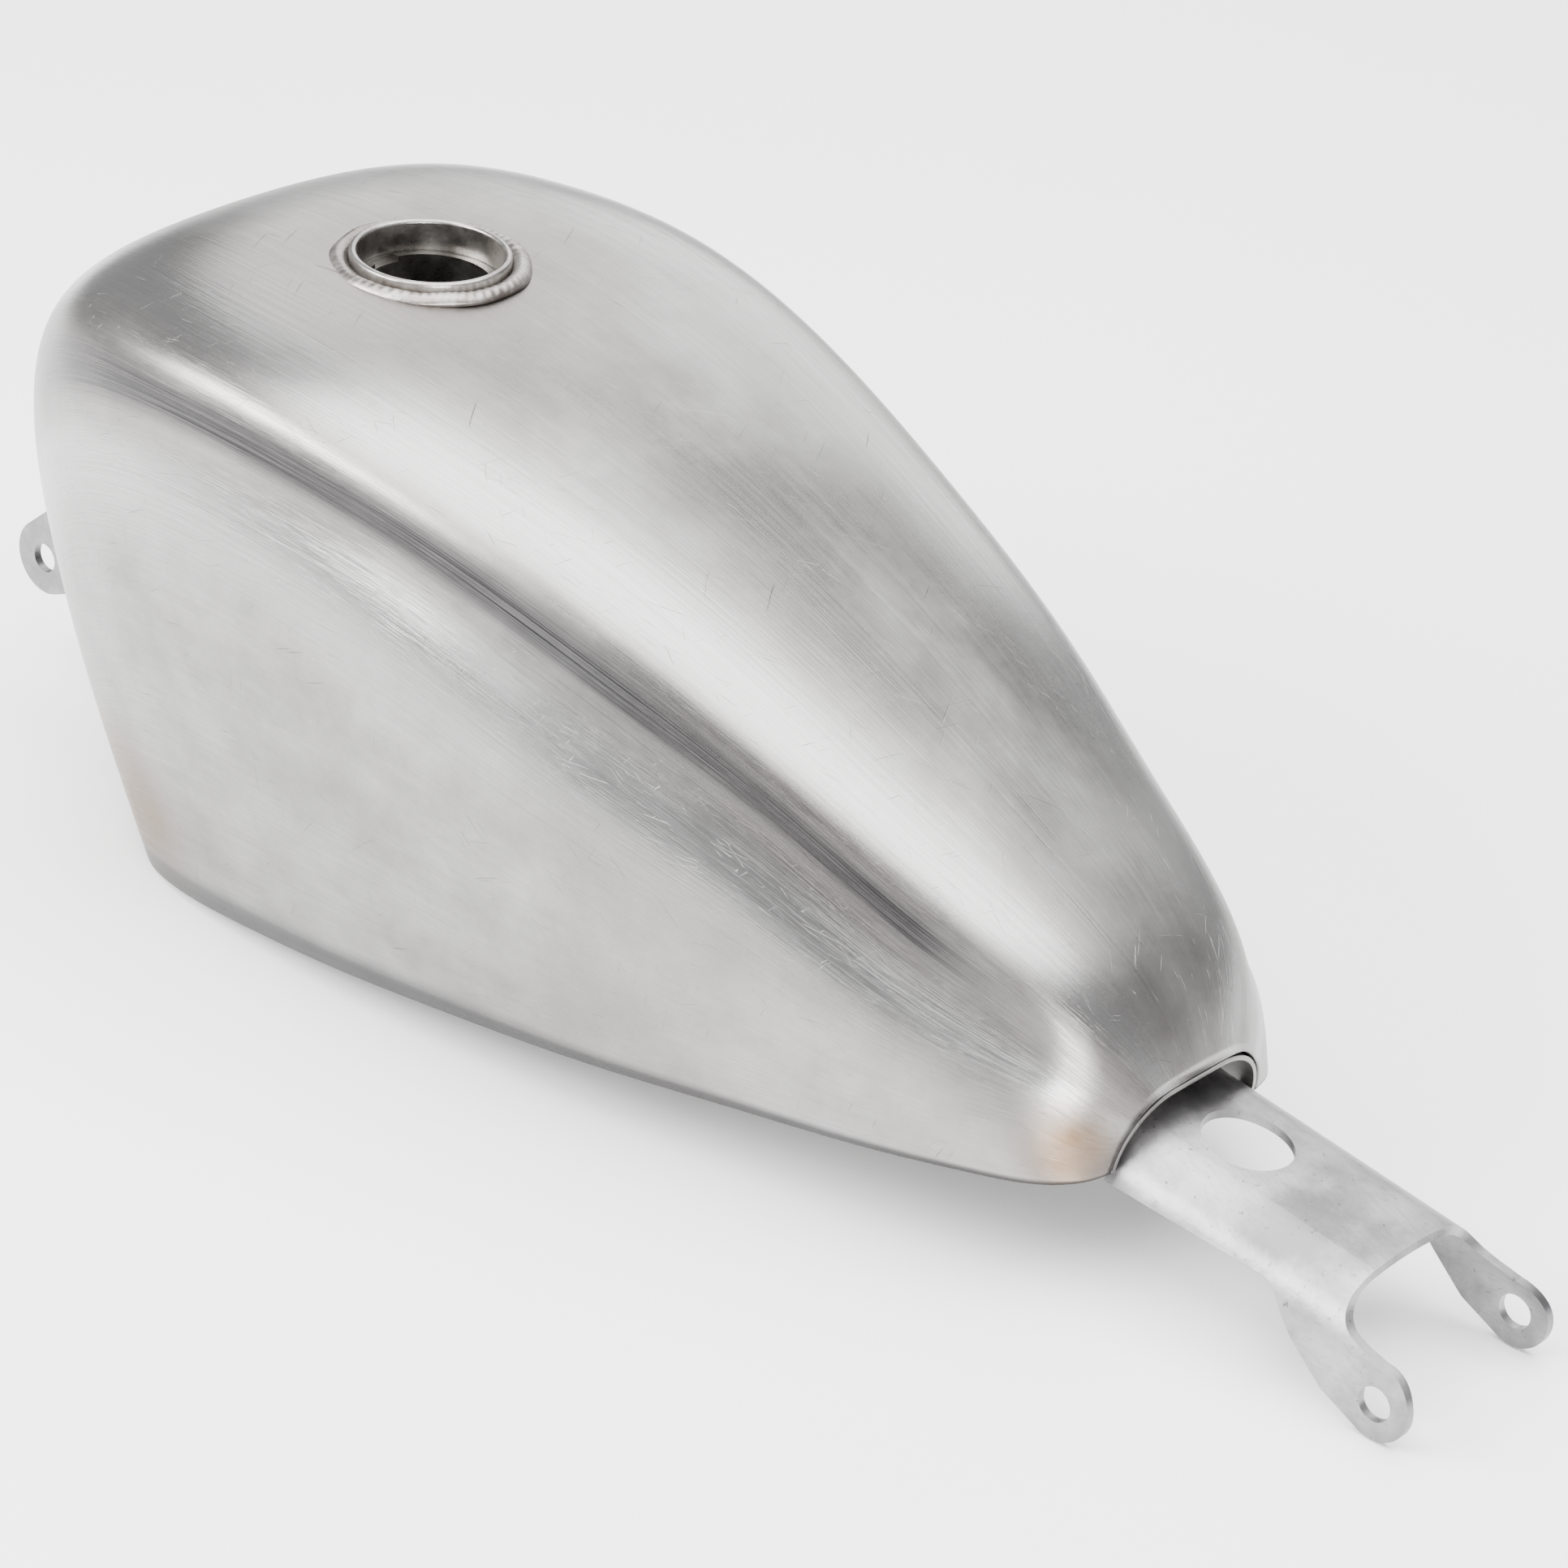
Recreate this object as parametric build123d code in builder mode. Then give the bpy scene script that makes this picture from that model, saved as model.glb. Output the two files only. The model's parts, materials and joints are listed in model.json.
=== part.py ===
from build123d import *
import math
import os

# Bare steel motorcycle fuel tank. X runs forward, Y to the rider's left, Z up, all in mm.
# The origin is the middle of the axis through the two rear eyes.

# overall sizes of the pressed skin
skin_length = 492.0          # rear arch to the front of the nose
skin_half_width = 119.0      # widest half width of the side panels
skin_height = 220.0          # lowest edge to the crown
tail_x = 105.0               # where the skin starts, ahead of the rear eyes
edge_lead = 3.0              # the bottom edge starts this much further forward
wall = 1.4                   # thickness of the skin
edge_slope = 0.1069          # the bottom edge falls this much per mm going forward
edge_tail_z = 29.0           # height of the bottom edge at the tail
edge_flat_z = -13.0          # the bottom edge levels out at the front corners

# tunnel for the frame tube, and the floors beside it
floor_wall = 1.6
floor_recess = 2.2           # the floors sit this far up inside the bottom edge
tunnel_flat_half = 12.0      # half width of the level part of the tunnel's roof
tunnel_rear_half = 36.2
tunnel_rear_spring = 29.5    # height where the straight sides turn into the arch
tunnel_rear_top = 51.4
tunnel_front_half = 35.6
tunnel_front_spring = 18.0
tunnel_front_top = 61.0
tunnel_overrun = 60.0
cut_reach = 90.0             # how far the cutting blocks go below the edge

# filler neck
neck_share = 0.7195          # place of the neck along the skin
neck_stand = 2.6             # the lip stands this far above the crown
neck_bore_r = 25.0
neck_wall = 2.6
lip_r = 1.2
neck_depth = 15.0
seat_step = 0.4              # the bore widens this much where the ledge is pressed in
seat_lead = 0.6              # and starts to widen this far above the ledge
ledge_width = 3.6            # how far the ledge stands into the bore
ledge_thick = 2.0
sleeve_wall = 1.5
sleeve_depth = 19.0
cam_slots = 2
cam_slot_width = 11.0
cam_slot_depth = 2.2
vent_r = 2.0
neck_bead_width = 5.4
neck_bead_high = 2.9

# front ears
ear_inner_y = 25.0
plate = 3.0
ear_reach = 23.7             # the holes are this far ahead of the nose
ear_hole_z = 38.0
ear_hole_r = 5.5
ear_end_r = 14.0
ear_root_top = (14.0, 90.0)  # behind the nose, and height
ear_root_low = (25.0, 44.0)

# rear bracket: side view points are X and Z from the eyes' axis
eye_outer_y = 38.3
eye_r = 6.0
eye_end_r = 12.6
bracket_top = 27.8           # height of the bracket's top line above the eyes at X = 0
bracket_slope = 0.12         # the bracket rises this much per mm going forward
bracket_overlap = 9.0        # the tongue runs this far in under the skin's arch
bracket_corner_r = 24.0
bracket_crown = 5.0
flange_drop = 12.5           # the tongue's side edges are this far below its top line
flange_start_x = 45.0
ear_low_point = (4.5, -11.7)
ear_low_bend = (20.0, -4.6)
ear_high_bend = (33.0, 7.0)
ear_bend_r = 9.0
ear_top_point = (8.8, 14.6)
notch_corner = (20.0, 18.6)
notch_r = 11.0
big_hole_x = 84.0
big_hole_long = 31.6
big_hole_wide = 28.0
tab_y = -17.0                # the tab goes up on the right side of the tongue
tab_half = 10.0
tab_front = 168.0
tab_rise_x = 134.0           # from here the tab lies against the tunnel's roof
rise_steps = 6               # sections in the tab's rise
tab_drop = 0.3               # the tab's crown stays this far below the roof's crown
tab_root_r = 6.0
tab_weld_long = 40.0
tab_weld_r = 3.0

# fuel outlet flange
outlet_share = 0.6606        # place of the outlet along the skin
outlet_y = 66.0
outlet_bore_r = 8.5
outlet_pitch = 34.0
outlet_screw_r = 2.5
outlet_end_r = 8.5
outlet_thick = 4.0
outlet_weld_side = 2.2
outlet_weld_taper = 30.0

# welds
bead = 2.4

# The skin's stations, drawn at the pattern's size. Each row: X and half width of the
# bottom edge, X and Z of the crown, then (half width, Z) pairs going down the side:
# shoulder, foot of the groove, top of the side panel, its widest line, and low down.
pattern_length = 492.0
pattern_half_width = 119.0
pattern_height = 220.0
stations = [
    (108.5, 35.5, 105.3, 50.8, (21, 50.5), (27, 46), (31.5, 41.5), (34.3, 37), (35.4, 33)),
    (110.7, 45.5, 111.0, 64.0, (28, 61), (35, 54), (40, 46), (42.5, 39), (44.5, 33)),
    (120.8, 57.0, 122.0, 80.0, (40, 75), (44, 64), (50, 56), (54, 46), (56.5, 36)),
    (140.0, 65.0, 141.0, 96.0, (51, 90), (50, 75), (60, 63), (65, 50), (66.5, 37)),
    (170.0, 73.5, 173.0, 115.0, (62, 107), (58, 88), (72, 74), (77, 54), (76.5, 38)),
    (220.0, 83.0, 227.0, 143.0, (77, 136), (71, 115), (86, 97), (91, 66), (88, 40)),
    (280.0, 93.0, 297.0, 173.0, (92, 166), (85, 141), (100, 121), (106, 80), (101, 42)),
    (335.0, 98.0, 363.0, 193.0, (106, 187), (96, 162), (110, 144), (115, 94), (108, 48)),
    (385.0, 100.5, 428.0, 205.0, (115, 199), (104, 173), (114, 153), (119, 104), (112, 52)),
    (430.0, 99.5, 494.0, 207.0, (111, 199), (106, 174), (113, 152), (118, 104), (111, 52)),
    (465.0, 96.5, 542.0, 200.0, (95, 192), (102, 163), (106, 138), (110, 94), (105, 46)),
    (488.0, 91.0, 572.0, 182.0, (78, 173), (91, 144), (95, 118), (99, 78), (96, 36)),
    (503.0, 83.0, 590.0, 157.0, (61, 149), (76, 122), (81, 97), (84, 62), (85, 24)),
    (518.0, 71.0, 597.0, 126.0, (44, 119), (57, 98), (63, 76), (68, 46), (71, 16)),
    (533.0, 54.0, 593.0, 90.0, (31, 84), (40, 68), (47, 52), (51, 30), (53, 8)),
    (543.0, 35.0, 584.0, 60.0, (20, 57), (27, 47), (31, 34), (33.5, 18), (35, 2)),
]
crown_share = 0.55           # how far out the level part of the crown reaches
samples = 12                 # points taken on each half of a station

scale_x = skin_length / pattern_length
scale_y = skin_half_width / pattern_half_width
scale_z = skin_height / pattern_height
floor_slope = edge_slope / scale_x
nose_x = tail_x + skin_length
mid_x = (tail_x + nose_x) / 2
neck_x = tail_x + skin_length * neck_share
neck_top_z = edge_flat_z + skin_height + neck_stand
neck_outer_r = neck_bore_r + neck_wall
neck_bead_r = neck_outer_r + neck_bead_width
seat_r = neck_bore_r + seat_step
ledge_bore_r = neck_bore_r - ledge_width
ledge_top_z = neck_top_z - neck_depth + 2 * ledge_thick
sleeve_top_z = ledge_top_z - ledge_thick
bracket_front = tail_x + bracket_overlap
outlet_x = tail_x + skin_length * outlet_share


def edge_z(x):
    """Height of the skin's bottom edge at x."""
    return max(edge_tail_z - (x - tail_x - edge_lead) * floor_slope, edge_flat_z)


def roof_z(x, y):
    """Height of the tunnel's arched inner roof at x and y."""
    rise = (tunnel_front_top - tunnel_rear_top) / skin_length
    top = tunnel_rear_top + (x - tail_x) * rise - floor_wall
    share = max(abs(y) - tunnel_flat_half, 0) / (tunnel_rear_half - floor_wall - tunnel_flat_half)
    return tunnel_rear_spring + (top - tunnel_rear_spring) * math.sqrt(1 - share * share)


def bracket_line(x):
    """Height of the rear bracket's top line at x: straight, then eased up to the roof."""
    share = min(max((x - bracket_front) / (tab_rise_x - bracket_front), 0), 1)
    eased = share * share * (3 - 2 * share)
    return (bracket_top + x * bracket_slope) * (1 - eased) + (roof_z(x, 0) - tab_drop) * eased


def blend(controls, share):
    """A point on the clamped cubic B-spline of the controls, at 0 to 1 of its length."""
    spans = len(controls) - 3
    knots = [0.0] * 3 + [float(k) for k in range(spans + 1)] + [float(spans)] * 3
    u = share * spans
    span = min(int(u), spans - 1) + 3
    local = [controls[span - 3 + k] for k in range(4)]
    for level in range(1, 4):
        for k in range(3, level - 1, -1):
            low = knots[span - 3 + k]
            high = knots[span + 1 + k - level]
            mix = (u - low) / (high - low)
            a, b = local[k - 1], local[k]
            local[k] = (a[0] + (b[0] - a[0]) * mix, a[1] + (b[1] - a[1]) * mix)
    return local[3]


def station_shape(row, inset):
    """Plane of a station and its outline in that plane, drawn smaller by the inset."""
    edge_x, edge_y, crown_x, crown_z, *side = row
    shrink_x = 1 - inset / (skin_length / 2)
    shrink_y = 1 - inset / skin_half_width
    shrink_z = 1 - inset / skin_height
    low = max(edge_tail_z - (edge_x - tail_x - edge_lead) * edge_slope, edge_flat_z)

    def place_x(x):
        return mid_x + (tail_x + (x - tail_x) * scale_x - mid_x) * shrink_x

    def rise(z):
        return (z - low) * scale_z * shrink_z

    base_x = place_x(edge_x)
    lean_x, lean_z = place_x(crown_x) - base_x, rise(crown_z)
    slant = math.hypot(lean_x, lean_z)
    plane = Plane(origin=(base_x, 0, low), x_dir=(0, 1, 0), z_dir=(lean_z, 0, -lean_x))
    rim = [(edge_y, low)] + side[::-1] + [(side[0][0] * crown_share, crown_z), (0, crown_z)]
    controls = [(y * scale_y * shrink_y, rise(z) * slant / lean_z) for y, z in rim]
    controls[0] = (controls[0][0], -2 * abs(inset))
    half = [blend(controls, k / (samples - 1)) for k in range(samples)]
    return plane, half + [(-y, v) for y, v in half[-2::-1]]


def skin_body(inset):
    """The skin's outer form as a solid, shrunk all round by the inset."""
    steps = [float(k) for k in range(2 * samples - 1)]
    with BuildPart() as body:
        for row in stations:
            plane, outline = station_shape(row, inset)
            with BuildSketch(plane):
                with BuildLine():
                    add(Edge.make_spline([Vector(*p) for p in outline], parameters=steps))
                    Line(outline[-1], outline[0])
                make_face()
        loft()
    return body.part


def tunnel_body(grow):
    """The frame tube's tunnel as a solid, run past both ends of the tank."""
    run = skin_length + 2 * tunnel_overrun

    def at(share, rear, front):
        return rear + (front - rear) * (-tunnel_overrun + share * run) / skin_length

    with BuildPart() as body:
        for share in (0, 1):
            half = at(share, tunnel_rear_half, tunnel_front_half) + grow
            spring = at(share, tunnel_rear_spring, tunnel_front_spring)
            top = at(share, tunnel_rear_top, tunnel_front_top) + grow
            x = tail_x - tunnel_overrun + share * run
            with BuildSketch(Plane((x, 0, 0), x_dir=(0, 1, 0), z_dir=(1, 0, 0))):
                with BuildLine():
                    Line((-half, -cut_reach), (half, -cut_reach))
                    Line((half, -cut_reach), (half, spring))
                    EllipticalCenterArc((tunnel_flat_half, spring), half - tunnel_flat_half,
                                        top - spring, start_angle=0, arc_size=90)
                    Line((tunnel_flat_half, top), (-tunnel_flat_half, top))
                    EllipticalCenterArc((-tunnel_flat_half, spring), half - tunnel_flat_half,
                                        top - spring, start_angle=90, arc_size=90)
                    Line((-half, spring), (-half, -cut_reach))
                make_face()
        loft()
    return body.part


def edge_slab(low, high):
    """A full width slab that follows the bottom edge between two heights above it."""
    flat_x = tail_x + edge_lead + (edge_tail_z - edge_flat_z) / floor_slope
    ends = [tail_x - tunnel_overrun, flat_x, nose_x + tunnel_overrun]
    line = [(x, edge_z(x)) for x in ends]
    with BuildPart() as slab:
        with BuildSketch(Plane.XZ):
            with BuildLine():
                Polyline(*[(x, z + low) for x, z in line],
                         *[(x, z + high) for x, z in line[::-1]], close=True)
            make_face()
        extrude(amount=2 * skin_half_width, both=True)
    return slab.part


def save(node, name):
    """Label a finished piece and write it out."""
    node.part.label = name
    export_step(node.part, f"parts/{name}.step")


os.makedirs("parts", exist_ok=True)
outer_form = skin_body(0)
inner_form = skin_body(wall)
tunnel_cut = tunnel_body(0)
tunnel_hollow = tunnel_body(-floor_wall)

# pressed skin
with BuildPart() as outer_shell:
    add(outer_form)
    add(inner_form, mode=Mode.SUBTRACT)
    add(tunnel_cut, mode=Mode.SUBTRACT)
    with Locations((neck_x, 0, neck_top_z)):
        Cylinder(neck_outer_r, neck_top_z, align=(Align.CENTER, Align.CENTER, Align.MAX),
                 mode=Mode.SUBTRACT)
save(outer_shell, "outer_shell")

# tunnel for the frame tube
with BuildPart() as tunnel:
    add(tunnel_cut)
    add(outer_form, mode=Mode.INTERSECT)
    add(tunnel_hollow, mode=Mode.SUBTRACT)
save(tunnel, "tunnel")

# floors on both sides of the tunnel; the left one has the fuel outlet
outlet_z = edge_z(outlet_x) + floor_recess
outlet_plane = Plane(origin=(outlet_x, outlet_y, outlet_z), x_dir=(1, 0, -floor_slope),
                     z_dir=(-floor_slope, 0, -1))
with BuildPart() as floors:
    add(edge_slab(floor_recess, floor_recess + floor_wall))
    add(inner_form, mode=Mode.INTERSECT)
    add(tunnel_cut, mode=Mode.SUBTRACT)
    with Locations(outlet_plane):
        Cylinder(outlet_bore_r, 4 * outlet_thick, mode=Mode.SUBTRACT)
for side, solid in zip(("right", "left"), floors.part.solids().sort_by(Axis.Y)):
    with BuildPart() as floor:
        add(solid)
    save(floor, f"floor_{side}")

# weld bead along the joint of skin and floor, one each side
with BuildPart() as seam:
    add(edge_slab(floor_recess - bead, floor_recess))
    add(inner_form, mode=Mode.INTERSECT)
    add(skin_body(wall + bead), mode=Mode.SUBTRACT)
    add(tunnel_cut, mode=Mode.SUBTRACT)
    with Locations((bracket_front + plate, 0, 0)):
        Box(skin_length, 2 * skin_half_width, 2 * cut_reach,
            align=(Align.MAX, Align.CENTER, Align.CENTER), mode=Mode.SUBTRACT)
for side, solid in zip(("right", "left"), seam.part.solids().sort_by(Axis.Y)):
    with BuildPart() as seam_weld:
        add(solid)
    save(seam_weld, f"seam_weld_{side}")

# filler neck with its rounded lip, and the wider seat at its foot
with BuildPart() as filler_neck:
    with Locations((neck_x, 0, neck_top_z)):
        Cylinder(neck_outer_r, neck_depth, align=(Align.CENTER, Align.CENTER, Align.MAX))
        Cylinder(neck_bore_r, neck_depth, align=(Align.CENTER, Align.CENTER, Align.MAX),
                 mode=Mode.SUBTRACT)
    fillet(filler_neck.faces().sort_by(Axis.Z)[-1].edges(), lip_r)
    with Locations((neck_x, 0, ledge_top_z + seat_lead)):
        Cylinder(seat_r, neck_depth, align=(Align.CENTER, Align.CENTER, Align.MAX),
                 mode=Mode.SUBTRACT)
save(filler_neck, "filler_neck")

# ledge the cap's tabs turn under, with its two entry slots
with BuildPart() as neck_ledge:
    with Locations((neck_x, 0, ledge_top_z)):
        Cylinder(seat_r, ledge_thick, align=(Align.CENTER, Align.CENTER, Align.MAX))
        Cylinder(ledge_bore_r, ledge_thick, align=(Align.CENTER, Align.CENTER, Align.MAX),
                 mode=Mode.SUBTRACT)
        with PolarLocations(ledge_bore_r, cam_slots):
            Box(2 * cam_slot_depth, cam_slot_width, 2 * ledge_thick + wall, mode=Mode.SUBTRACT)
save(neck_ledge, "neck_ledge")

# sleeve under the ledge, with the vent hole on its right side
with BuildPart() as neck_sleeve:
    with Locations((neck_x, 0, sleeve_top_z)):
        Cylinder(seat_r, ledge_thick, align=(Align.CENTER, Align.CENTER, Align.MAX))
        Cylinder(ledge_bore_r + sleeve_wall, sleeve_depth,
                 align=(Align.CENTER, Align.CENTER, Align.MAX))
        Cylinder(ledge_bore_r, sleeve_depth, align=(Align.CENTER, Align.CENTER, Align.MAX),
                 mode=Mode.SUBTRACT)
    with Locations(Plane.XZ * Location((neck_x, sleeve_top_z - sleeve_depth / 2, ledge_bore_r))):
        Cylinder(vent_r, 4 * sleeve_wall, mode=Mode.SUBTRACT)
save(neck_sleeve, "neck_sleeve")

# weld bead round the neck, ground to follow the crown
with BuildPart() as neck_weld:
    with BuildSketch(Plane.XZ.move(Location((neck_x, 0, 0)))):
        with BuildLine():
            low_z = neck_top_z - neck_depth
            high_z = neck_top_z - bead / 2
            Polyline((neck_outer_r, high_z), (neck_outer_r, low_z), (neck_bead_r, low_z),
                     (neck_bead_r, high_z - neck_bead_high + bead / 4))
            Spline((neck_bead_r, high_z - neck_bead_high + bead / 4),
                   (neck_bead_r - bead, high_z - bead / 4), (neck_outer_r, high_z))
        make_face()
    revolve(axis=Axis((neck_x, 0, 0), (0, 0, 1)))
    add(outer_form, mode=Mode.SUBTRACT)
save(neck_weld, "neck_weld")

# front ears and the beads that hold them to the nose
ear_hole = (nose_x + ear_reach, ear_hole_z)
root_top = (nose_x - ear_root_top[0] * scale_x, ear_root_top[1])
root_low = (nose_x - ear_root_low[0] * scale_x, ear_root_low[1])
nose_grown = skin_body(-bead)
for side, name in ((1, "left"), (-1, "right")):
    with BuildPart() as front_ear:
        with BuildSketch(Plane.XZ.offset(-side * ear_inner_y)):
            with Locations(ear_hole):
                Circle(ear_end_r)
            with BuildLine():
                Line(root_top, root_low)
            make_hull()
            with Locations(ear_hole):
                Circle(ear_hole_r, mode=Mode.SUBTRACT)
        extrude(amount=-side * plate)
        add(outer_form, mode=Mode.SUBTRACT)
    save(front_ear, f"front_ear_{name}")
    with BuildPart() as ear_weld:
        with Locations(((root_low[0] + root_top[0]) / 2, side * (ear_inner_y + plate / 2),
                        tunnel_front_top - 2 * bead)):
            Box(2 * ear_end_r + plate, plate + 2 * bead, root_top[1] - tunnel_front_top,
                align=(Align.CENTER, Align.CENTER, Align.MIN))
        add(nose_grown, mode=Mode.INTERSECT)
        add(outer_form, mode=Mode.SUBTRACT)
        add(front_ear.part, mode=Mode.SUBTRACT)
    save(ear_weld, f"ear_weld_{name}")


def bracket_bar(inset):
    """The bracket's arched section along its top line as a solid, drawn smaller by the inset."""
    half = eye_outer_y - inset
    rise = tab_rise_x - bracket_front
    runs = ((-eye_end_r - plate, bracket_front),
            [bracket_front + rise * k / rise_steps for k in range(rise_steps + 1)],
            (tab_rise_x, tab_front + plate))
    with BuildPart() as bar:
        for run in runs:
            for x in run:
                top = bracket_line(x) - inset
                shoulder = top - bracket_crown
                with BuildSketch(Plane((x, 0, 0), x_dir=(0, 1, 0), z_dir=(1, 0, 0))) as section:
                    with BuildLine():
                        Polyline((-half, shoulder), (-half, -cut_reach), (half, -cut_reach),
                                 (half, shoulder))
                        ThreePointArc((half, shoulder), (0, top), (-half, shoulder))
                    make_face()
                    fillet(section.vertices().group_by(Axis.Y)[-1], bracket_corner_r - inset)
            loft()
    return bar.part


# rear bracket: arched tongue, fork and eyes, with the tab that goes up to the tunnel's roof
with BuildPart() as side_view:
    with BuildSketch(Plane.XZ) as profile:
        with BuildLine():
            Polyline((0, eye_end_r), ear_top_point, notch_corner, (notch_corner[0], cut_reach),
                     (tab_front, cut_reach), (tab_front, bracket_line(bracket_front) - flange_drop),
                     (flange_start_x, bracket_line(flange_start_x) - flange_drop),
                     ear_high_bend, ear_low_bend, ear_low_point, (0, 0), close=True)
        make_face()
        fillet(profile.vertices().sort_by_distance(ear_low_bend)[0], ear_bend_r)
        fillet(profile.vertices().sort_by_distance(notch_corner)[0], notch_r)
        fillet(profile.vertices().sort_by_distance(
            (flange_start_x, bracket_line(flange_start_x) - flange_drop))[0], ear_bend_r)
        Circle(eye_end_r)
        Circle(eye_r, mode=Mode.SUBTRACT)
    extrude(amount=2 * eye_outer_y, both=True)
with BuildPart() as plan_view:
    with BuildSketch() as outline:
        with Locations((bracket_front, 0)):
            Rectangle(bracket_front + 2 * eye_end_r, 2 * eye_outer_y + plate,
                      align=(Align.MAX, Align.CENTER))
        with Locations((bracket_front, tab_y)):
            Rectangle(tab_front - bracket_front, 2 * tab_half, align=(Align.MIN, Align.CENTER))
        for side in (1, -1):
            corner = (bracket_front, tab_y + side * tab_half)
            fillet(outline.vertices().sort_by_distance(corner)[0], tab_root_r)
        with Locations((big_hole_x, 0)):
            Ellipse(big_hole_long / 2, big_hole_wide / 2, mode=Mode.SUBTRACT)
    extrude(amount=cut_reach, both=True)
with BuildPart() as bracket_room:
    add(tunnel_hollow)
    with Locations((bracket_front - plate, 0, 0)):
        Box(bracket_front + 2 * eye_end_r, 2 * eye_outer_y + plate, 2 * cut_reach,
            align=(Align.MAX, Align.CENTER, Align.CENTER))
with BuildPart() as rear_bracket:
    add(bracket_bar(0))
    add(bracket_bar(plate), mode=Mode.SUBTRACT)
    add(side_view.part, mode=Mode.INTERSECT)
    add(plan_view.part, mode=Mode.INTERSECT)
    add(bracket_room.part, mode=Mode.INTERSECT)
save(rear_bracket, "rear_bracket")

# beads along both sides of the tab, under the tunnel's roof
for side, name in ((1, "left"), (-1, "right")):
    with BuildPart() as tab_weld:
        y = tab_y + side * tab_half
        with Locations((tab_front - tab_weld_long, y, roof_z(tab_front, y) - plate / 2)):
            Cylinder(tab_weld_r, tab_weld_long, rotation=(0, 90, 0),
                     align=(Align.CENTER, Align.CENTER, Align.MIN))
        add(tunnel_hollow, mode=Mode.INTERSECT)
        add(rear_bracket.part, mode=Mode.SUBTRACT)
    save(tab_weld, f"tab_weld_{name}")

# fuel outlet flange under the left lobe, with its bead
with BuildPart() as outlet_flange:
    with BuildSketch(outlet_plane):
        SlotCenterToCenter(outlet_pitch, 2 * outlet_end_r + outlet_bore_r)
        Circle(outlet_bore_r, mode=Mode.SUBTRACT)
        with GridLocations(outlet_pitch, 0, 2, 1):
            Circle(outlet_screw_r, mode=Mode.SUBTRACT)
    extrude(amount=outlet_thick)
save(outlet_flange, "outlet_flange")
with BuildPart() as outlet_weld:
    with BuildSketch(outlet_plane):
        SlotCenterToCenter(outlet_pitch, 2 * (outlet_end_r + outlet_weld_side) + outlet_bore_r)
    extrude(amount=outlet_weld_side, taper=outlet_weld_taper)
    with BuildSketch(outlet_plane):
        SlotCenterToCenter(outlet_pitch, 2 * outlet_end_r + outlet_bore_r)
    extrude(amount=outlet_thick, mode=Mode.SUBTRACT)
save(outlet_weld, "outlet_weld")
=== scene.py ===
import json
import bpy
import numpy as np
from mathutils import Matrix, Vector


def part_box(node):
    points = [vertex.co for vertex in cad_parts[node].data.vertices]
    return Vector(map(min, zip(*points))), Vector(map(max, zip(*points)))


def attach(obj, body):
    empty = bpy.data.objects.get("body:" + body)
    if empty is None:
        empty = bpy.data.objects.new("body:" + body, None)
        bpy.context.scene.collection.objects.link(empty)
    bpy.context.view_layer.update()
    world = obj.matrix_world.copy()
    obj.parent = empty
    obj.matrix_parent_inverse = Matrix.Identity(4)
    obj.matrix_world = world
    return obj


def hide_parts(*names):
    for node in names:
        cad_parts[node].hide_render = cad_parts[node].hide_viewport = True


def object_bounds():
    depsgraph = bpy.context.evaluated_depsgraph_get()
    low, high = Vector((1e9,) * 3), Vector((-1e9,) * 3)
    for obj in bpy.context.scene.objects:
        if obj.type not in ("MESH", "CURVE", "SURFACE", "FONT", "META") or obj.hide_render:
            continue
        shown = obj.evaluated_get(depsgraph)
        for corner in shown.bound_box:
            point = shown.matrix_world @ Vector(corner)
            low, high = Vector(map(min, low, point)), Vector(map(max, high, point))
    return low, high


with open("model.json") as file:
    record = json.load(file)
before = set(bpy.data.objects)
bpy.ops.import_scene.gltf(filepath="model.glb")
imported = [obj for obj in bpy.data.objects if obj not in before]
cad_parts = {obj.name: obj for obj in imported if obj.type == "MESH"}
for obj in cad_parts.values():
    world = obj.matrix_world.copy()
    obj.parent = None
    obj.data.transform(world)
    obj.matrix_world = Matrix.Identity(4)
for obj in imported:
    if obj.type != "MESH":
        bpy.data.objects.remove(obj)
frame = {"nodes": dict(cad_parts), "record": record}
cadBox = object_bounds()
mm = 0.001
neckLow, neckHigh = (np.array(corner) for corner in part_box("filler_neck"))
neckCentre = (neckLow + neckHigh) / 2
neckOuter = (neckHigh[0] - neckLow[0]) / 2
neckTop = neckHigh[2]
print("frame loaded, object box", cadBox)


# mesh helpers

def makePiece(name, points, faces, cadNodes, uv=None, smooth=True):
    # puts whole arrays of points and quads into a new mesh that stands for the CAD nodes
    used = np.unique(faces)
    lookup = np.zeros(len(points), dtype=int)
    lookup[used] = np.arange(len(used))
    faces = lookup[faces]
    mesh = bpy.data.meshes.new(name)
    mesh.from_pydata(points[used].tolist(), [], faces.tolist())
    if uv is not None:
        layer = mesh.uv_layers.new(name="grain")
        layer.data.foreach_set("uv", uv[used][faces.ravel()].astype(np.float32).ravel())
    mesh.polygons.foreach_set("use_smooth", np.full(len(mesh.polygons), smooth))
    mesh.update()
    piece = bpy.data.objects.new(name, mesh)
    bpy.context.collection.objects.link(piece)
    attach(piece, "root")
    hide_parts(*cadNodes)
    return piece


def gridFaces(rows, columns, wrapRows=False, wrapColumns=False, flip=False):
    # quads of a rows by columns grid of points, joined end to end where asked
    i = np.arange(rows if wrapRows else rows - 1)[:, None]
    j = np.arange(columns if wrapColumns else columns - 1)[None, :]
    nextI, nextJ = (i + 1) % rows, (j + 1) % columns
    quads = np.stack([i * columns + j, nextI * columns + j,
                      nextI * columns + nextJ, i * columns + nextJ], axis=-1).reshape(-1, 4)
    return quads[:, ::-1] if flip else quads


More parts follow.
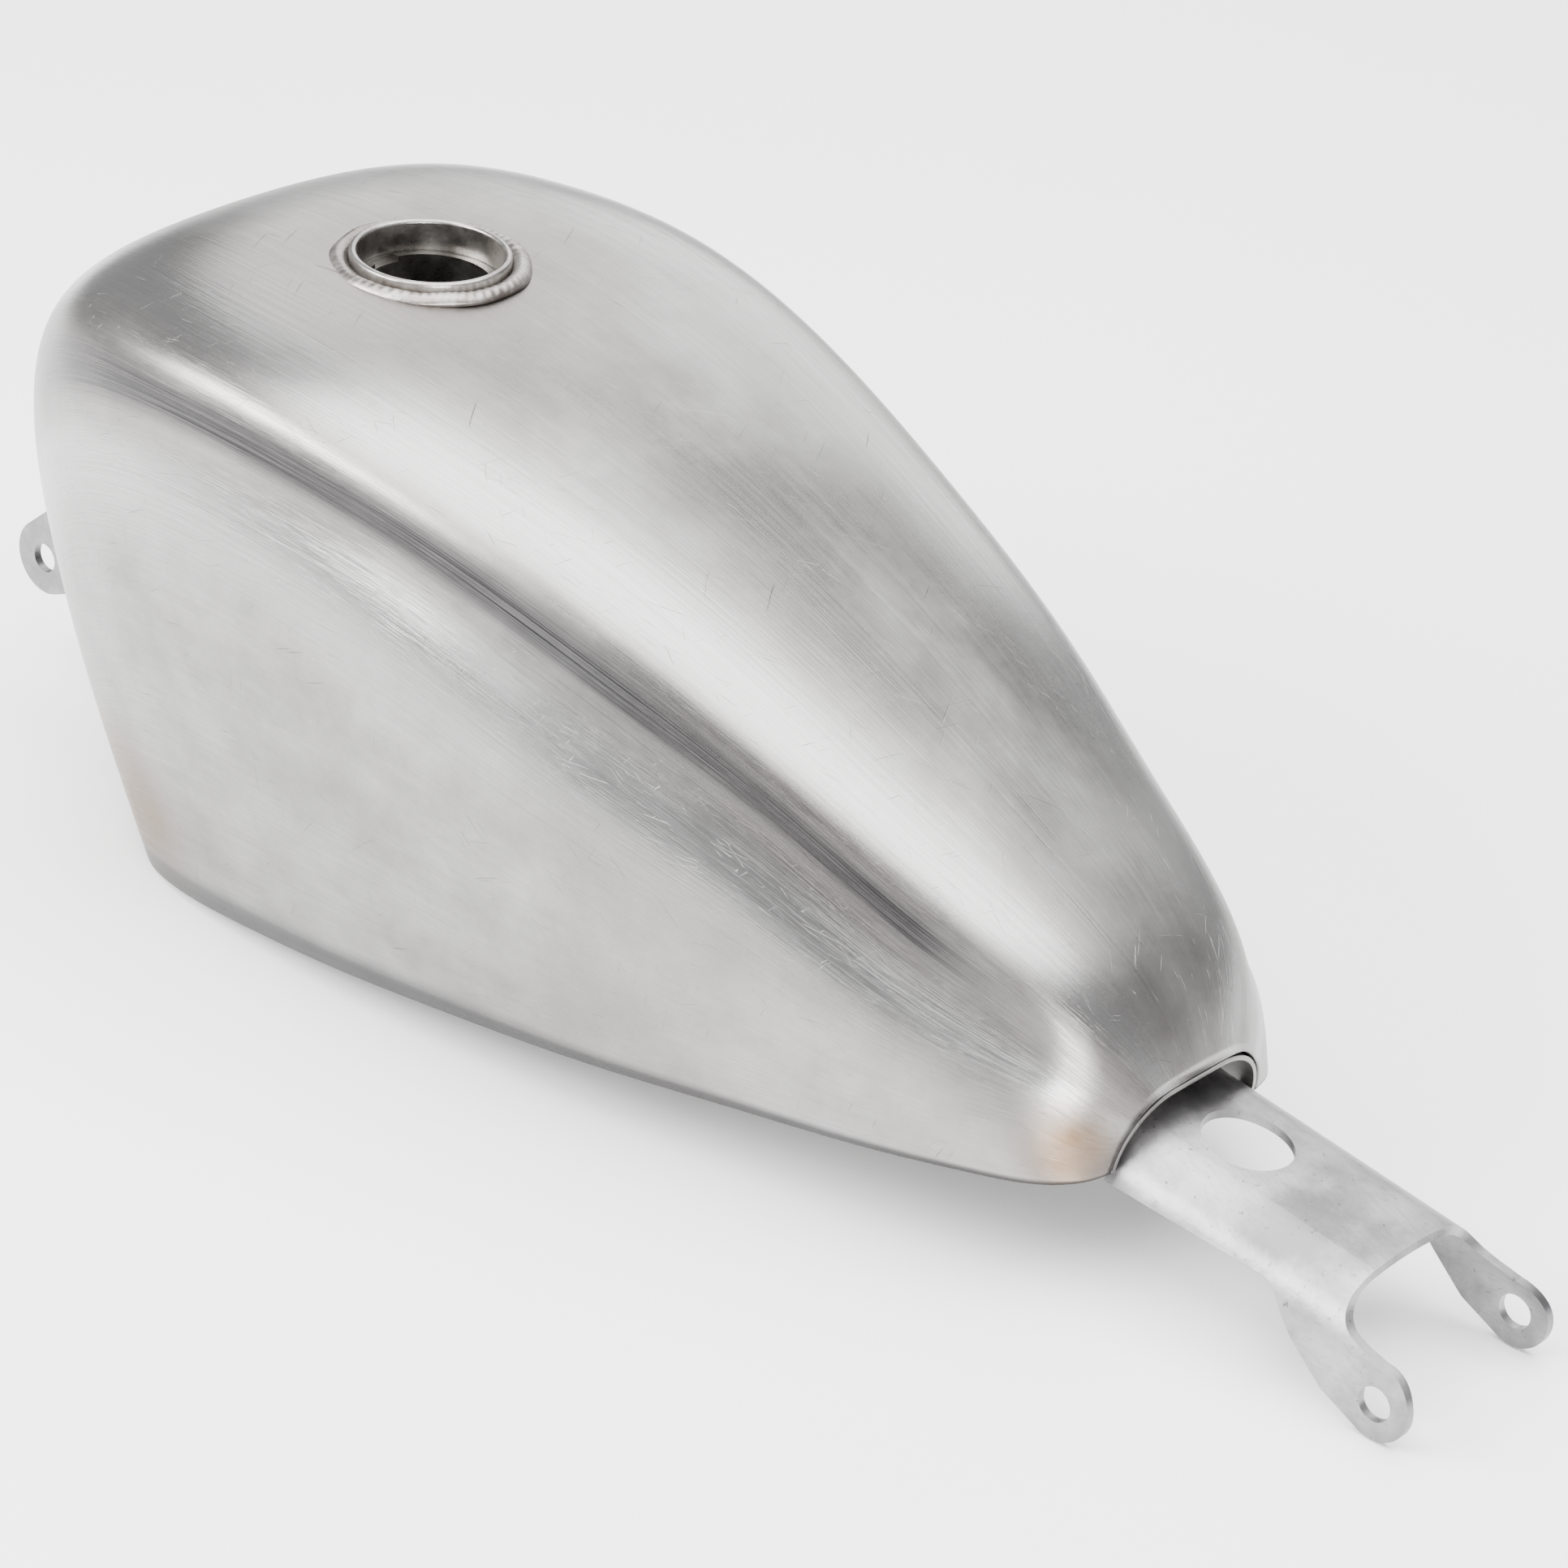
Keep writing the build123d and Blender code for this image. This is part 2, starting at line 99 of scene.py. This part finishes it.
def smoothStep(value, low, high):
    # 0 below low, 1 above high, and a cubic with level ends between
    share = np.clip((value - low) / (high - low), 0, 1)
    return share * share * (3 - 2 * share)


# the pressed skin

skin = {
    "along": 216,            # cells from tail to nose
    "across": 66,            # cells over each side
    "wall": 1.4 * mm,
    "crownShare": 0.55,      # how far out the level part of the crown reaches
    "dishDepth": 1.1 * mm,   # the crown sinks this much round the neck
    "dishReach": 62 * mm,
    "dishHeight": 30 * mm,   # only the skin this close below the lip takes the dish
    "holeRings": 7,
    "holeBlock": 11 * mm,    # cells this far outside the neck are cut out for the rings
    "blockShare": 0.98,
    "searchStart": 0.72,     # where along the skin the neck stands
    "searchStep": 1e-4, "searchRounds": 12,
    "girth": 0.30,           # length over one side, for the grain
    # each row: X and half width of the bottom edge, X and Z of the crown, then pairs of
    # half width and Z: shoulder, groove foot, panel top, widest line, low down
    "stations": [
        (108.5, 36.8, 105.3, 52.3, 22, 52.2, 28.3, 47.5, 32.9, 42.7, 35.6, 38, 36.7, 33.5),
        (110.7, 45.5, 111.0, 64.0, 28, 61, 35, 54, 40, 46, 42.5, 39, 44.5, 33),
        (120.8, 57.0, 122.0, 80.0, 40, 75, 44, 64, 50, 56, 54, 46, 56.5, 36),
        (140.0, 65.0, 141.0, 96.0, 51, 90, 50, 75, 60, 63, 65, 50, 66.5, 37),
        (170.0, 73.5, 173.0, 115.0, 62, 107, 58, 88, 72, 74, 77, 54, 76.5, 38),
        (220.0, 83.0, 227.0, 143.0, 77, 136, 71, 115, 86, 97, 91, 66, 88, 40),
        (280.0, 93.0, 297.0, 173.0, 92, 166, 85, 141, 100, 121, 106, 80, 101, 42),
        (335.0, 98.0, 363.0, 193.0, 106, 187, 96, 162, 110, 144, 115, 94, 108, 48),
        (385.0, 100.5, 428.0, 205.0, 115, 199, 104, 173, 114, 153, 119, 104, 112, 52),
        (430.0, 99.5, 494.0, 207.0, 111, 199, 106, 174, 113, 152, 118, 104, 111, 52),
        (465.0, 96.5, 542.0, 200.0, 95, 192, 102, 163, 106, 138, 110, 94, 105, 46),
        (488.0, 91.0, 572.0, 182.0, 78, 173, 91, 144, 95, 118, 99, 78, 96, 36),
        (503.0, 83.0, 590.0, 157.0, 61, 149, 76, 122, 81, 97, 84, 62, 85, 24),
        (518.0, 71.0, 597.0, 126.0, 44, 119, 57, 98, 63, 76, 68, 46, 71, 16),
        (533.0, 54.0, 593.0, 90.0, 31, 84, 40, 68, 47, 52, 51, 30, 53, 8),
        (543.0, 35.0, 584.0, 60.0, 20, 57, 27, 47, 31, 34, 33.5, 18, 35, 2)],
    "edgeTail": 29.0, "edgeStart": 108, "edgeSlope": 0.1069, "edgeFlat": -13.0}


def stationControls():
    # control points of every station, bottom edge to crown, leaning with the station's plane
    rows = np.array(skin["stations"])
    edgeX, edgeY, crownX, crownZ = rows[:, :4].T
    edgeZ = np.maximum(skin["edgeTail"] - (edgeX - skin["edgeStart"]) * skin["edgeSlope"],
                       skin["edgeFlat"])
    sideY, sideZ = rows[:, 4::2][:, ::-1], rows[:, 5::2][:, ::-1]
    y = np.column_stack([edgeY, sideY, sideY[:, -1] * skin["crownShare"], 0 * edgeY])
    z = np.column_stack([edgeZ, sideZ, crownZ, crownZ])
    rise = (z - edgeZ[:, None]) / (crownZ - edgeZ)[:, None]
    x = edgeX[:, None] + (crownX - edgeX)[:, None] * rise
    return np.stack([x, y, z], axis=-1) * mm


def sideWeights(share, count=8):
    # weights of a clamped cubic B-spline's controls at each share of its length
    spans = count - 3
    knots = np.concatenate([np.zeros(3), np.arange(spans + 1), np.full(3, spans)])
    u = np.clip(share, 0, 1 - 1e-9) * spans
    basis = ((u[:, None] >= knots[:-1]) & (u[:, None] < knots[1:])).astype(float)
    for degree in (1, 2, 3):
        widthA, widthB = knots[degree:-1] - knots[:-degree - 1], knots[degree + 1:] - knots[1:-degree]
        a = (u[:, None] - knots[:-degree - 1]) / np.where(widthA > 0, widthA, 1) * (widthA > 0)
        b = (knots[degree + 1:] - u[:, None]) / np.where(widthB > 0, widthB, 1) * (widthB > 0)
        basis = a * basis[:, :-1] + b * basis[:, 1:]
    return basis


def alongWeights(share, marks):
    # weights of a natural cubic spline's values at each share, so the whole skin is one sum
    count, gap = len(marks), np.diff(marks)
    bend = np.eye(count)
    inner = np.arange(1, count - 1)
    bend[inner, inner - 1], bend[inner, inner + 1] = gap[:-1], gap[1:]
    bend[inner, inner] = 2 * (gap[:-1] + gap[1:])
    pull = np.zeros((count, count))
    pull[inner, inner + 1] = 6 / gap[1:]
    pull[inner, inner - 1] = 6 / gap[:-1]
    pull[inner, inner] = -6 / gap[1:] - 6 / gap[:-1]
    second, values = np.linalg.solve(bend, pull), np.eye(count)
    k = np.clip(np.searchsorted(marks, share, side="right") - 1, 0, count - 2)
    h, toNext, past = gap[k][:, None], (marks[k + 1] - share)[:, None], (share - marks[k])[:, None]
    return ((second[k] * toNext ** 3 + second[k + 1] * past ** 3) / (6 * h)
            + (values[k] / h - second[k] * h / 6) * toNext
            + (values[k + 1] / h - second[k + 1] * h / 6) * past)


controls = stationControls()
middle = controls[:, 4]
marks = np.concatenate([[0], np.cumsum(np.linalg.norm(np.diff(middle, axis=0), axis=1))])
marks = marks / marks[-1]


def skinPoint(along, over):
    # along runs 0 to 1 from tail to nose, over runs 0 to 2 from left edge over the crown to right
    side = np.where(over <= 1, over, 2 - over)
    point = np.einsum("pi,pk,ikc->pc", alongWeights(along, marks), sideWeights(side), controls)
    point[:, 1] *= np.where(over <= 1, 1, -1)
    return point


def findOnSkin(target):
    # Newton steps from the neck's station until the skin's X and Y meet the target's
    along, over = np.full(len(target), skin["searchStart"]), np.full(len(target), 1.0)
    step = skin["searchStep"]
    for _ in range(skin["searchRounds"]):
        here = skinPoint(along, over)[:, :2]
        dAlong = (skinPoint(along + step, over)[:, :2] - here) / step
        dOver = (skinPoint(along, over + step)[:, :2] - here) / step
        miss = target - here
        det = dAlong[:, 0] * dOver[:, 1] - dAlong[:, 1] * dOver[:, 0]
        along = np.clip(along + (miss[:, 0] * dOver[:, 1] - miss[:, 1] * dOver[:, 0]) / det, 0, 1)
        over = np.clip(over + (dAlong[:, 0] * miss[:, 1] - dAlong[:, 1] * miss[:, 0]) / det, 0, 2)
    return along, over


def dished(point):
    # the crown sinks in a soft ring round the neck
    away = np.hypot(point[:, 0] - neckCentre[0], point[:, 1] - neckCentre[1])
    sunk = skin["dishDepth"] * (1 - smoothStep(away, neckOuter, skin["dishReach"]))
    near = point[:, 2] > neckTop - skin["dishHeight"]
    return point - np.column_stack([0 * away, 0 * away, sunk * near])


def makeSkin():
    # a grid over the skin's two directions, opened round the neck, then thickened inward
    columns, rows = skin["along"] + 1, 2 * skin["across"] + 1
    along, over = np.meshgrid(np.linspace(0, 1, columns), np.linspace(0, 2, rows))
    along, over = along.ravel(), over.ravel()
    points = skinPoint(along, over)
    faces = gridFaces(rows, columns)
    # cut a block of cells round the neck and fill it with rings that end on the round hole
    reach = (neckOuter + skin["holeBlock"]) * skin["blockShare"]
    corner = np.array([[-1, -1], [1, 1]]) * reach + neckCentre[:2]
    cornerAlong, cornerOver = findOnSkin(corner)
    i0, i1 = np.sort(np.round(cornerOver * skin["across"]).astype(int))
    j0, j1 = np.sort(np.round(cornerAlong * skin["along"]).astype(int))
    faceRow, faceColumn = np.divmod(np.arange(len(faces)), columns - 1)
    inside = (faceRow >= i0) & (faceRow < i1) & (faceColumn >= j0) & (faceColumn < j1)
    edge = np.concatenate([
        i0 * columns + np.arange(j0, j1), np.arange(i0, i1) * columns + j1,
        i1 * columns + np.arange(j1, j0, -1), np.arange(i1, i0, -1) * columns + j0])
    angle = np.arctan2(points[edge, 1] - neckCentre[1], points[edge, 0] - neckCentre[0])
    rim = neckCentre[:2] + neckOuter * np.column_stack([np.cos(angle), np.sin(angle)])
    rimAlong, rimOver = findOnSkin(rim)
    share = np.linspace(1, 0, skin["holeRings"] + 1)[1:, None]
    ringAlong = (rimAlong + (along[edge] - rimAlong) * share).ravel()
    ringOver = (rimOver + (over[edge] - rimOver) * share).ravel()
    ringPoints = skinPoint(ringAlong, ringOver)
    ids = np.concatenate([edge, len(points) + np.arange(len(ringAlong))])
    ringFaces = ids[gridFaces(skin["holeRings"] + 1, len(edge), wrapColumns=True)]
    points = dished(np.concatenate([points, ringPoints]))
    along, over = np.concatenate([along, ringAlong]), np.concatenate([over, ringOver])
    uv = np.column_stack([along * (cadBox[1][0] - cadBox[0][0]), over * skin["girth"]])
    piece = makePiece("outerSkin", points, np.concatenate([faces[~inside], ringFaces]),
                      ["outer_shell"], uv)
    wall = piece.modifiers.new("wall", "SOLIDIFY")
    wall.thickness, wall.offset = skin["wall"], -1
    return piece


outerSkin = makeSkin()
print("skin made")


# the weld ring round the neck

weldRing = {
    "steps": 360, "profile": 20,
    "inner": -0.1 * mm, "width": 7.2 * mm,
    "foot": 5.2 * mm,        # below the lip, under the skin
    "rise": 3.2 * mm,
    "ripples": 64, "rippleHeight": 0.16 * mm, "grindHeight": 0.22 * mm}


def makeWeldRing():
    # a rounded bead turned round the neck; its height swells and ripples along its length
    angle = np.linspace(0, 2 * np.pi, weldRing["steps"], endpoint=False)[:, None]
    share = np.linspace(0, 1, weldRing["profile"])[None, :]
    top = np.sin(np.pi * share) ** 0.6
    swell = np.sin(3 * angle + 0.7) + 0.6 * np.sin(7 * angle + 2.1) + 0.4 * np.sin(13 * angle)
    ripple = np.sin(weldRing["ripples"] * angle + 2.2 * np.sin(5 * angle) + 3 * share)
    toTail = 0.35 + 0.65 * (0.5 - 0.5 * np.cos(angle - 0.4))
    lift = (weldRing["rise"] + weldRing["grindHeight"] * swell
            + weldRing["rippleHeight"] * ripple * toTail) * top
    width = weldRing["width"] + weldRing["grindHeight"] * np.sin(9 * angle + 1.0)
    radius = neckOuter + weldRing["inner"] + width * share
    points = np.stack([neckCentre[0] + radius * np.cos(angle),
                       neckCentre[1] + radius * np.sin(angle),
                       neckTop - weldRing["foot"] + lift], axis=-1).reshape(-1, 3)
    faces = gridFaces(weldRing["steps"], weldRing["profile"], wrapRows=True, wrapColumns=True)
    return makePiece("neckWeldRing", points, faces[:, ::-1], ["neck_weld"])


neckWeldRing = makeWeldRing()
print("weld ring made")

# camera, floor and light

view = {
    "place": (-0.71908, 1.20549, 0.95737),
    "right": (-0.73864, -0.66991, 0.07503),
    "up": (0.37765, -0.31905, 0.86925),
    "back": (-0.55838, 0.67040, 0.48865),
    "lens": 125.03, "sensor": 36}


def placeCamera():
    # the camera's turn is the matrix whose columns are its right, up and back directions
    data = bpy.data.cameras.new("camera")
    data.lens, data.sensor_width = view["lens"], view["sensor"]
    camera = bpy.data.objects.new("camera", data)
    bpy.context.collection.objects.link(camera)
    turn = Matrix([view["right"], view["up"], view["back"]]).transposed().to_4x4()
    camera.matrix_world = Matrix.Translation(view["place"]) @ turn
    bpy.context.scene.camera = camera


def makeFloor():
    # one square at the height of the object's lowest point
    mesh = bpy.data.meshes.new("floor")
    size, height = studio["floorSize"], cadBox[0][2]
    mesh.from_pydata([(-size, -size, height), (size, -size, height), (size, size, height),
                      (-size, size, height)], [], [(0, 1, 2, 3)])
    floor = bpy.data.objects.new("floor", mesh)
    bpy.context.collection.objects.link(floor)
    return floor


def areaLight(name, place, target, size, power):
    # a rectangular lamp turned so that its face looks at the target
    data = bpy.data.lights.new(name, "AREA")
    data.shape, data.size, data.size_y, data.energy = "RECTANGLE", size[0], size[1], power
    lamp = bpy.data.objects.new(name, data)
    bpy.context.collection.objects.link(lamp)
    lamp.location = place
    lamp.rotation_euler = (Vector(target) - Vector(place)).to_track_quat("-Z", "Y").to_euler()


studio = {
    "lamps": [("overhead", (0.2, 0.0, 1.9), (0.3, 0, 0.1), (2.6, 2.4), 150),
              ("leftFront", (1.35, 1.6, 1.35), (0.35, 0, 0.1), (1.8, 0.9), 120),
              ("rearLeft", (-1.85, 1.35, 0.45), (0.15, 0, 0.05), (1.3, 0.8), 85),
              ("farRight", (1.5, -2.0, 1.25), (0.35, 0, 0.1), (2.2, 1.4), 34)],
    "floorSize": 6.0,        # half the floor's side
    "worldColour": (0.90, 0.90, 0.91, 1), "worldStrength": 0.62}

placeCamera()
floor = makeFloor()
for lamp in studio["lamps"]:
    areaLight(*lamp)
world = bpy.data.worlds.new("studio")
bpy.context.scene.world = world
world.use_nodes = True
world.node_tree.nodes["Background"].inputs["Color"].default_value = studio["worldColour"]
world.node_tree.nodes["Background"].inputs["Strength"].default_value = studio["worldStrength"]
print("studio made")

# finishes


class Number:
    # a value on its way through a material; arithmetic on it adds Math nodes
    def __init__(self, finish, socket):
        self.finish, self.socket = finish, socket

    def math(self, operation, first, second=0.0):
        return self.finish.value("ShaderNodeMath", {"operation": operation}, {0: first, 1: second})

    def __add__(self, other):
        return self.math("ADD", self, other)

    def __sub__(self, other):
        return self.math("SUBTRACT", self, other)

    def __rsub__(self, other):
        return self.math("SUBTRACT", other, self)

    def __mul__(self, other):
        return self.math("MULTIPLY", self, other)

    def __abs__(self):
        return self.math("ABSOLUTE", self)

    __radd__, __rmul__ = __add__, __mul__


class Finish:
    # one material, and one method that adds any node to it
    def __init__(self, name):
        self.material = bpy.data.materials.new(name)
        self.material.use_nodes = True
        self.tree = self.material.node_tree
        self.shader = self.tree.nodes["Principled BSDF"]

    def node(self, kind, settings=None, inputs=None):
        # adds any node, sets its settings and feeds its inputs
        node = self.tree.nodes.new(kind)
        for key, setting in (settings or {}).items():
            setattr(node, key, setting)
        for key, given in (inputs or {}).items():
            self.feed(node.inputs[key], given)
        return node

    def feed(self, socket, given):
        # links a socket or a Number, or sets a plain value
        if isinstance(given, Number):
            given = given.socket
        if isinstance(given, bpy.types.NodeSocket):
            self.tree.links.new(given, socket)
        else:
            socket.default_value = given

    def value(self, kind, settings=None, inputs=None, output=0):
        return Number(self, self.node(kind, settings, inputs).outputs[output])

    def place(self, scale, kind="Object", turn=0.0):
        # the object's or UV coordinates, turned about Z and then stretched
        where = self.node("ShaderNodeTexCoord").outputs[kind]
        turned = self.node("ShaderNodeMapping", None, {"Vector": where, "Rotation": (0, 0, turn)})
        return self.node("ShaderNodeMapping", None, {"Vector": turned.outputs[0],
                                                     "Scale": scale}).outputs[0]

    def split(self, kind):
        # the three coordinates as separate Numbers
        parts = self.node("ShaderNodeSeparateXYZ", None, {
            0: self.node("ShaderNodeTexCoord").outputs[kind]})
        return [Number(self, part) for part in parts.outputs]

    def noise(self, scale, detail=4.0, rough=0.5, stretch=(1, 1, 1), kind="Object", turn=0.0):
        return self.value("ShaderNodeTexNoise", None, {
            "Vector": self.place(stretch, kind, turn), "Scale": scale, "Detail": detail,
            "Roughness": rough})

    def spread(self, number, low, high, to=(0.0, 1.0)):
        # a soft step from the first value of to, below low, to the second, above high
        return self.value("ShaderNodeMapRange", {"interpolation_type": "SMOOTHSTEP"}, {
            "Value": number, "From Min": low, "From Max": high, "To Min": to[0], "To Max": to[1]})

    def between(self, number, rise, full, fall, end):
        # 1 between full and fall, with a soft step up before and down after
        return self.spread(number, rise, full) * self.spread(number, fall, end, (1.0, 0.0))

    def mix(self, share, a, b):
        # share 0 gives a, share 1 gives b
        return self.node("ShaderNodeMix", {"data_type": "RGBA"}, {
            0: share, 6: (*a, 1) if isinstance(a, tuple) else a,
            7: (*b, 1) if isinstance(b, tuple) else b}).outputs[2]

    def bump(self, height, distance, strength=1.0, under=None):
        inputs = {"Height": height, "Distance": distance, "Strength": strength}
        if under is not None:
            inputs["Normal"] = under
        return self.node("ShaderNodeBump", None, inputs).outputs[0]

    def blob(self, centre, radius, soft=1.0):
        # 1 at the centre, fading to 0 at the radius
        where = self.node("ShaderNodeTexCoord").outputs["Object"]
        away = self.value("ShaderNodeVectorMath", {"operation": "DISTANCE"}, {0: where, 1: centre}, 1)
        return self.spread(away, radius * (1 - soft), radius, (1.0, 0.0))

    def finish(self, colour, rough, normal, metallic=1.0):
        self.feed(self.shader.inputs["Base Color"], colour)
        self.feed(self.shader.inputs["Roughness"], rough)
        self.feed(self.shader.inputs["Normal"], normal)
        self.shader.inputs["Metallic"].default_value = metallic
        return self.material


brushedSkin = {
    "light": (0.40, 0.39, 0.385), "dark": (0.20, 0.195, 0.19), "green": (0.25, 0.27, 0.245),
    "pink": (0.345, 0.315, 0.305), "groove": (0.012, 0.012, 0.014),
    "paintedHighlight": (0.46, 0.455, 0.45), "brown": (0.16, 0.10, 0.055),
    "weldTint": (0.165, 0.14, 0.125),
    "roughLow": 0.22, "roughHigh": 0.35, "grainDepth": 0.00012,
    "heat": [((0.500, 0.090, 0.014), 0.048, 1.0), ((0.116, 0.050, 0.040), 0.022, 1.0),
             ((0.470, -0.086, 0.010), 0.045, 0.6)],
    "grain": (6, 900, 1), "fineGrain": (25, 3200, 1), "crossGrain": (500, 60, 1),
    # soft steps up and down over the side's share, then over the length in metres
    "groovePlace": [(0.55, 0.63, 0.68, 0.76), (0.02, 0.10, 0.42, 0.56)],
    "ridgePlace": [(0.26, 0.42, 0.46, 0.56), (0.76, 0.84, 0.86, 0.95)],
    "neckReach": 0.085, "scratchStretch": (30, 1500), "scratchStep": (9, 240),
    "scratchTurns": [0.45, -0.7, 1.25, 0.12]}


def brushedSteel():
    # satin steel: cloudy patches, grain along the tank, painted shade in the groove, painted highlights
    # on the ridge and shoulder, heat tints and scratches
    fin = Finish("brushedSteel")
    along, across, _ = fin.split("UV")
    side = 1.0 - abs(across * (1 / skin["girth"]) - 1.0)
    grain = fin.noise(1.0, 5, 0.7, brushedSkin["grain"], "UV")
    fineGrain = fin.noise(1.0, 2, 0.5, brushedSkin["fineGrain"], "UV")
    cross = fin.noise(1.0, 3, 0.6, brushedSkin["crossGrain"], "UV")
    cloud = fin.noise(9.0, 6, 0.6, (0.6, 1, 1))
    mottle = fin.noise(34.0, 6, 0.65)
    patch = fin.noise(4.0, 3, 0.5, (0.7, 1.1, 1))
    overSide, overLength = brushedSkin["groovePlace"]
    band = fin.between(side, *overSide) * fin.between(along, *overLength)
    panelTop, shoulder = brushedSkin["ridgePlace"]
    ridge = fin.between(side, *panelTop) + fin.between(side, *shoulder)
    streak = fin.spread(grain, 0.30, 0.75)
    colour = fin.mix(fin.spread(cloud + (mottle - 0.5) * 0.35, 0.33, 0.68),
                     brushedSkin["dark"], brushedSkin["light"])
    colour = fin.mix(fin.spread(patch, 0.48, 0.66) * 0.5, colour, brushedSkin["green"])
    colour = fin.mix(fin.spread(patch, 0.50, 0.34) * 0.45, colour, brushedSkin["pink"])
    # painted highlight: a lighter colour on the panel-top ridge and the shoulder, where the lamps'
    # highlights fall
    colour = fin.mix(ridge * 0.80, colour, brushedSkin["paintedHighlight"])
    fineStreak = fin.spread(fineGrain, 0.35, 0.70)
    colour = fin.mix(streak * 0.30 + fineStreak * 0.22, colour, brushedSkin["dark"])
    # painted shade: the groove band gets a near-black colour standing in for the shade and dark
    # reflection in the crease, broken up by the grain streaks
    colour = fin.mix(band * (0.86 + (streak - 0.5) * 0.4 + (fineStreak - 0.5) * 0.2), colour,
                     brushedSkin["groove"])
    nearNeck = fin.blob(tuple(neckCentre), brushedSkin["neckReach"], 0.75) * (0.45 + (cloud - 0.5) * 1.2)
    colour = fin.mix(nearNeck, colour, brushedSkin["weldTint"])
    for centre, radius, amount in brushedSkin["heat"]:
        tint = fin.blob(centre, radius, 0.9) * (amount + (mottle - 0.5) * 1.6)
        colour = fin.mix(tint, colour, brushedSkin["brown"])
    scratches = 0.0
    for spot, turn in enumerate(brushedSkin["scratchTurns"]):
        stretch = [first + spot * step for first, step
                   in zip(brushedSkin["scratchStretch"], brushedSkin["scratchStep"])]
        line = fin.noise(1.0, 1.5, 0.5, (*stretch, 1), "UV", turn)
        scratches = fin.spread(line, 0.715, 0.79) + scratches
    # the scratches take the same near-black colour as the painted groove shade
    colour = fin.mix(scratches * 0.45, colour, brushedSkin["groove"])
    # near black along the skin's bottom edge
    colour = fin.mix(fin.spread(side, 0.004, 0.018, (0.7, 0.0)), colour, brushedSkin["groove"])
    rough = (fin.spread(cloud, 0.3, 0.7, (brushedSkin["roughLow"], brushedSkin["roughHigh"]))
             + fin.spread(grain, 0.3, 0.7) * 0.07 - ridge * 0.05)
    height = (grain * (0.5 + band * 0.9) + fineGrain * 0.3 + cross * 0.12 + mottle * 0.25
              - scratches * 0.6)
    return fin.finish(colour, rough, fin.bump(height, brushedSkin["grainDepth"]))


outerSkin.data.materials.append(brushedSteel())


def dullSteel(name, light, dark, scale, roughness):
    # pickled plate: cloudy patches, small dark pits and faint rub marks
    fin = Finish(name)
    cloud = fin.noise(scale, 6, 0.6)
    pits = fin.noise(scale * 14, 3, 0.7)
    rub = fin.noise(1.0, 4, 0.6, (60, 700, 700), "Object", 0.3)
    colour = fin.mix(fin.spread(cloud, 0.35, 0.65), dark, light)
    colour = fin.mix(fin.spread(rub, 0.45, 0.75) * 0.35, colour, dark)
    colour = fin.mix(fin.spread(pits, 0.63, 0.72) * 0.7, colour, tuple(c * 0.3 for c in dark))
    rough = roughness + fin.spread(cloud, 0.3, 0.7) * 0.12
    return fin.finish(colour, rough, fin.bump(pits * 0.5 + cloud, 0.00015))


floorFinish = Finish("paleFloor")
floor.data.materials.append(floorFinish.finish(
    floorFinish.mix(floorFinish.noise(3.0), (0.955, 0.955, 0.955), (0.975, 0.975, 0.975)), 0.9,
    floorFinish.bump(floorFinish.noise(40.0), 0.0001), 0.0))
plateSteel = dullSteel("plateSteel", (0.40, 0.39, 0.395), (0.19, 0.185, 0.19), 26.0, 0.33)
undersideSteel = dullSteel("undersideSteel", (0.34, 0.33, 0.325), (0.20, 0.195, 0.19), 14.0, 0.40)
neckSteel = dullSteel("neckSteel", (0.42, 0.405, 0.39), (0.24, 0.225, 0.21), 60.0, 0.26)
weldSteel = dullSteel("weldSteel", (0.37, 0.35, 0.335), (0.20, 0.175, 0.16), 90.0, 0.32)
neckWeldRing.data.materials.append(weldSteel)
finishes = {"underside": undersideSteel, "neck": neckSteel, "bracket": plateSteel, "weld": weldSteel}
slots = {entry["node"]: entry["material_slot"] for entry in frame["record"]["subparts"]}
for name, node in frame["nodes"].items():
    if name != "outer_shell":
        node.data.materials.clear()
        node.data.materials.append(finishes[slots[name]])
print("finishes made")
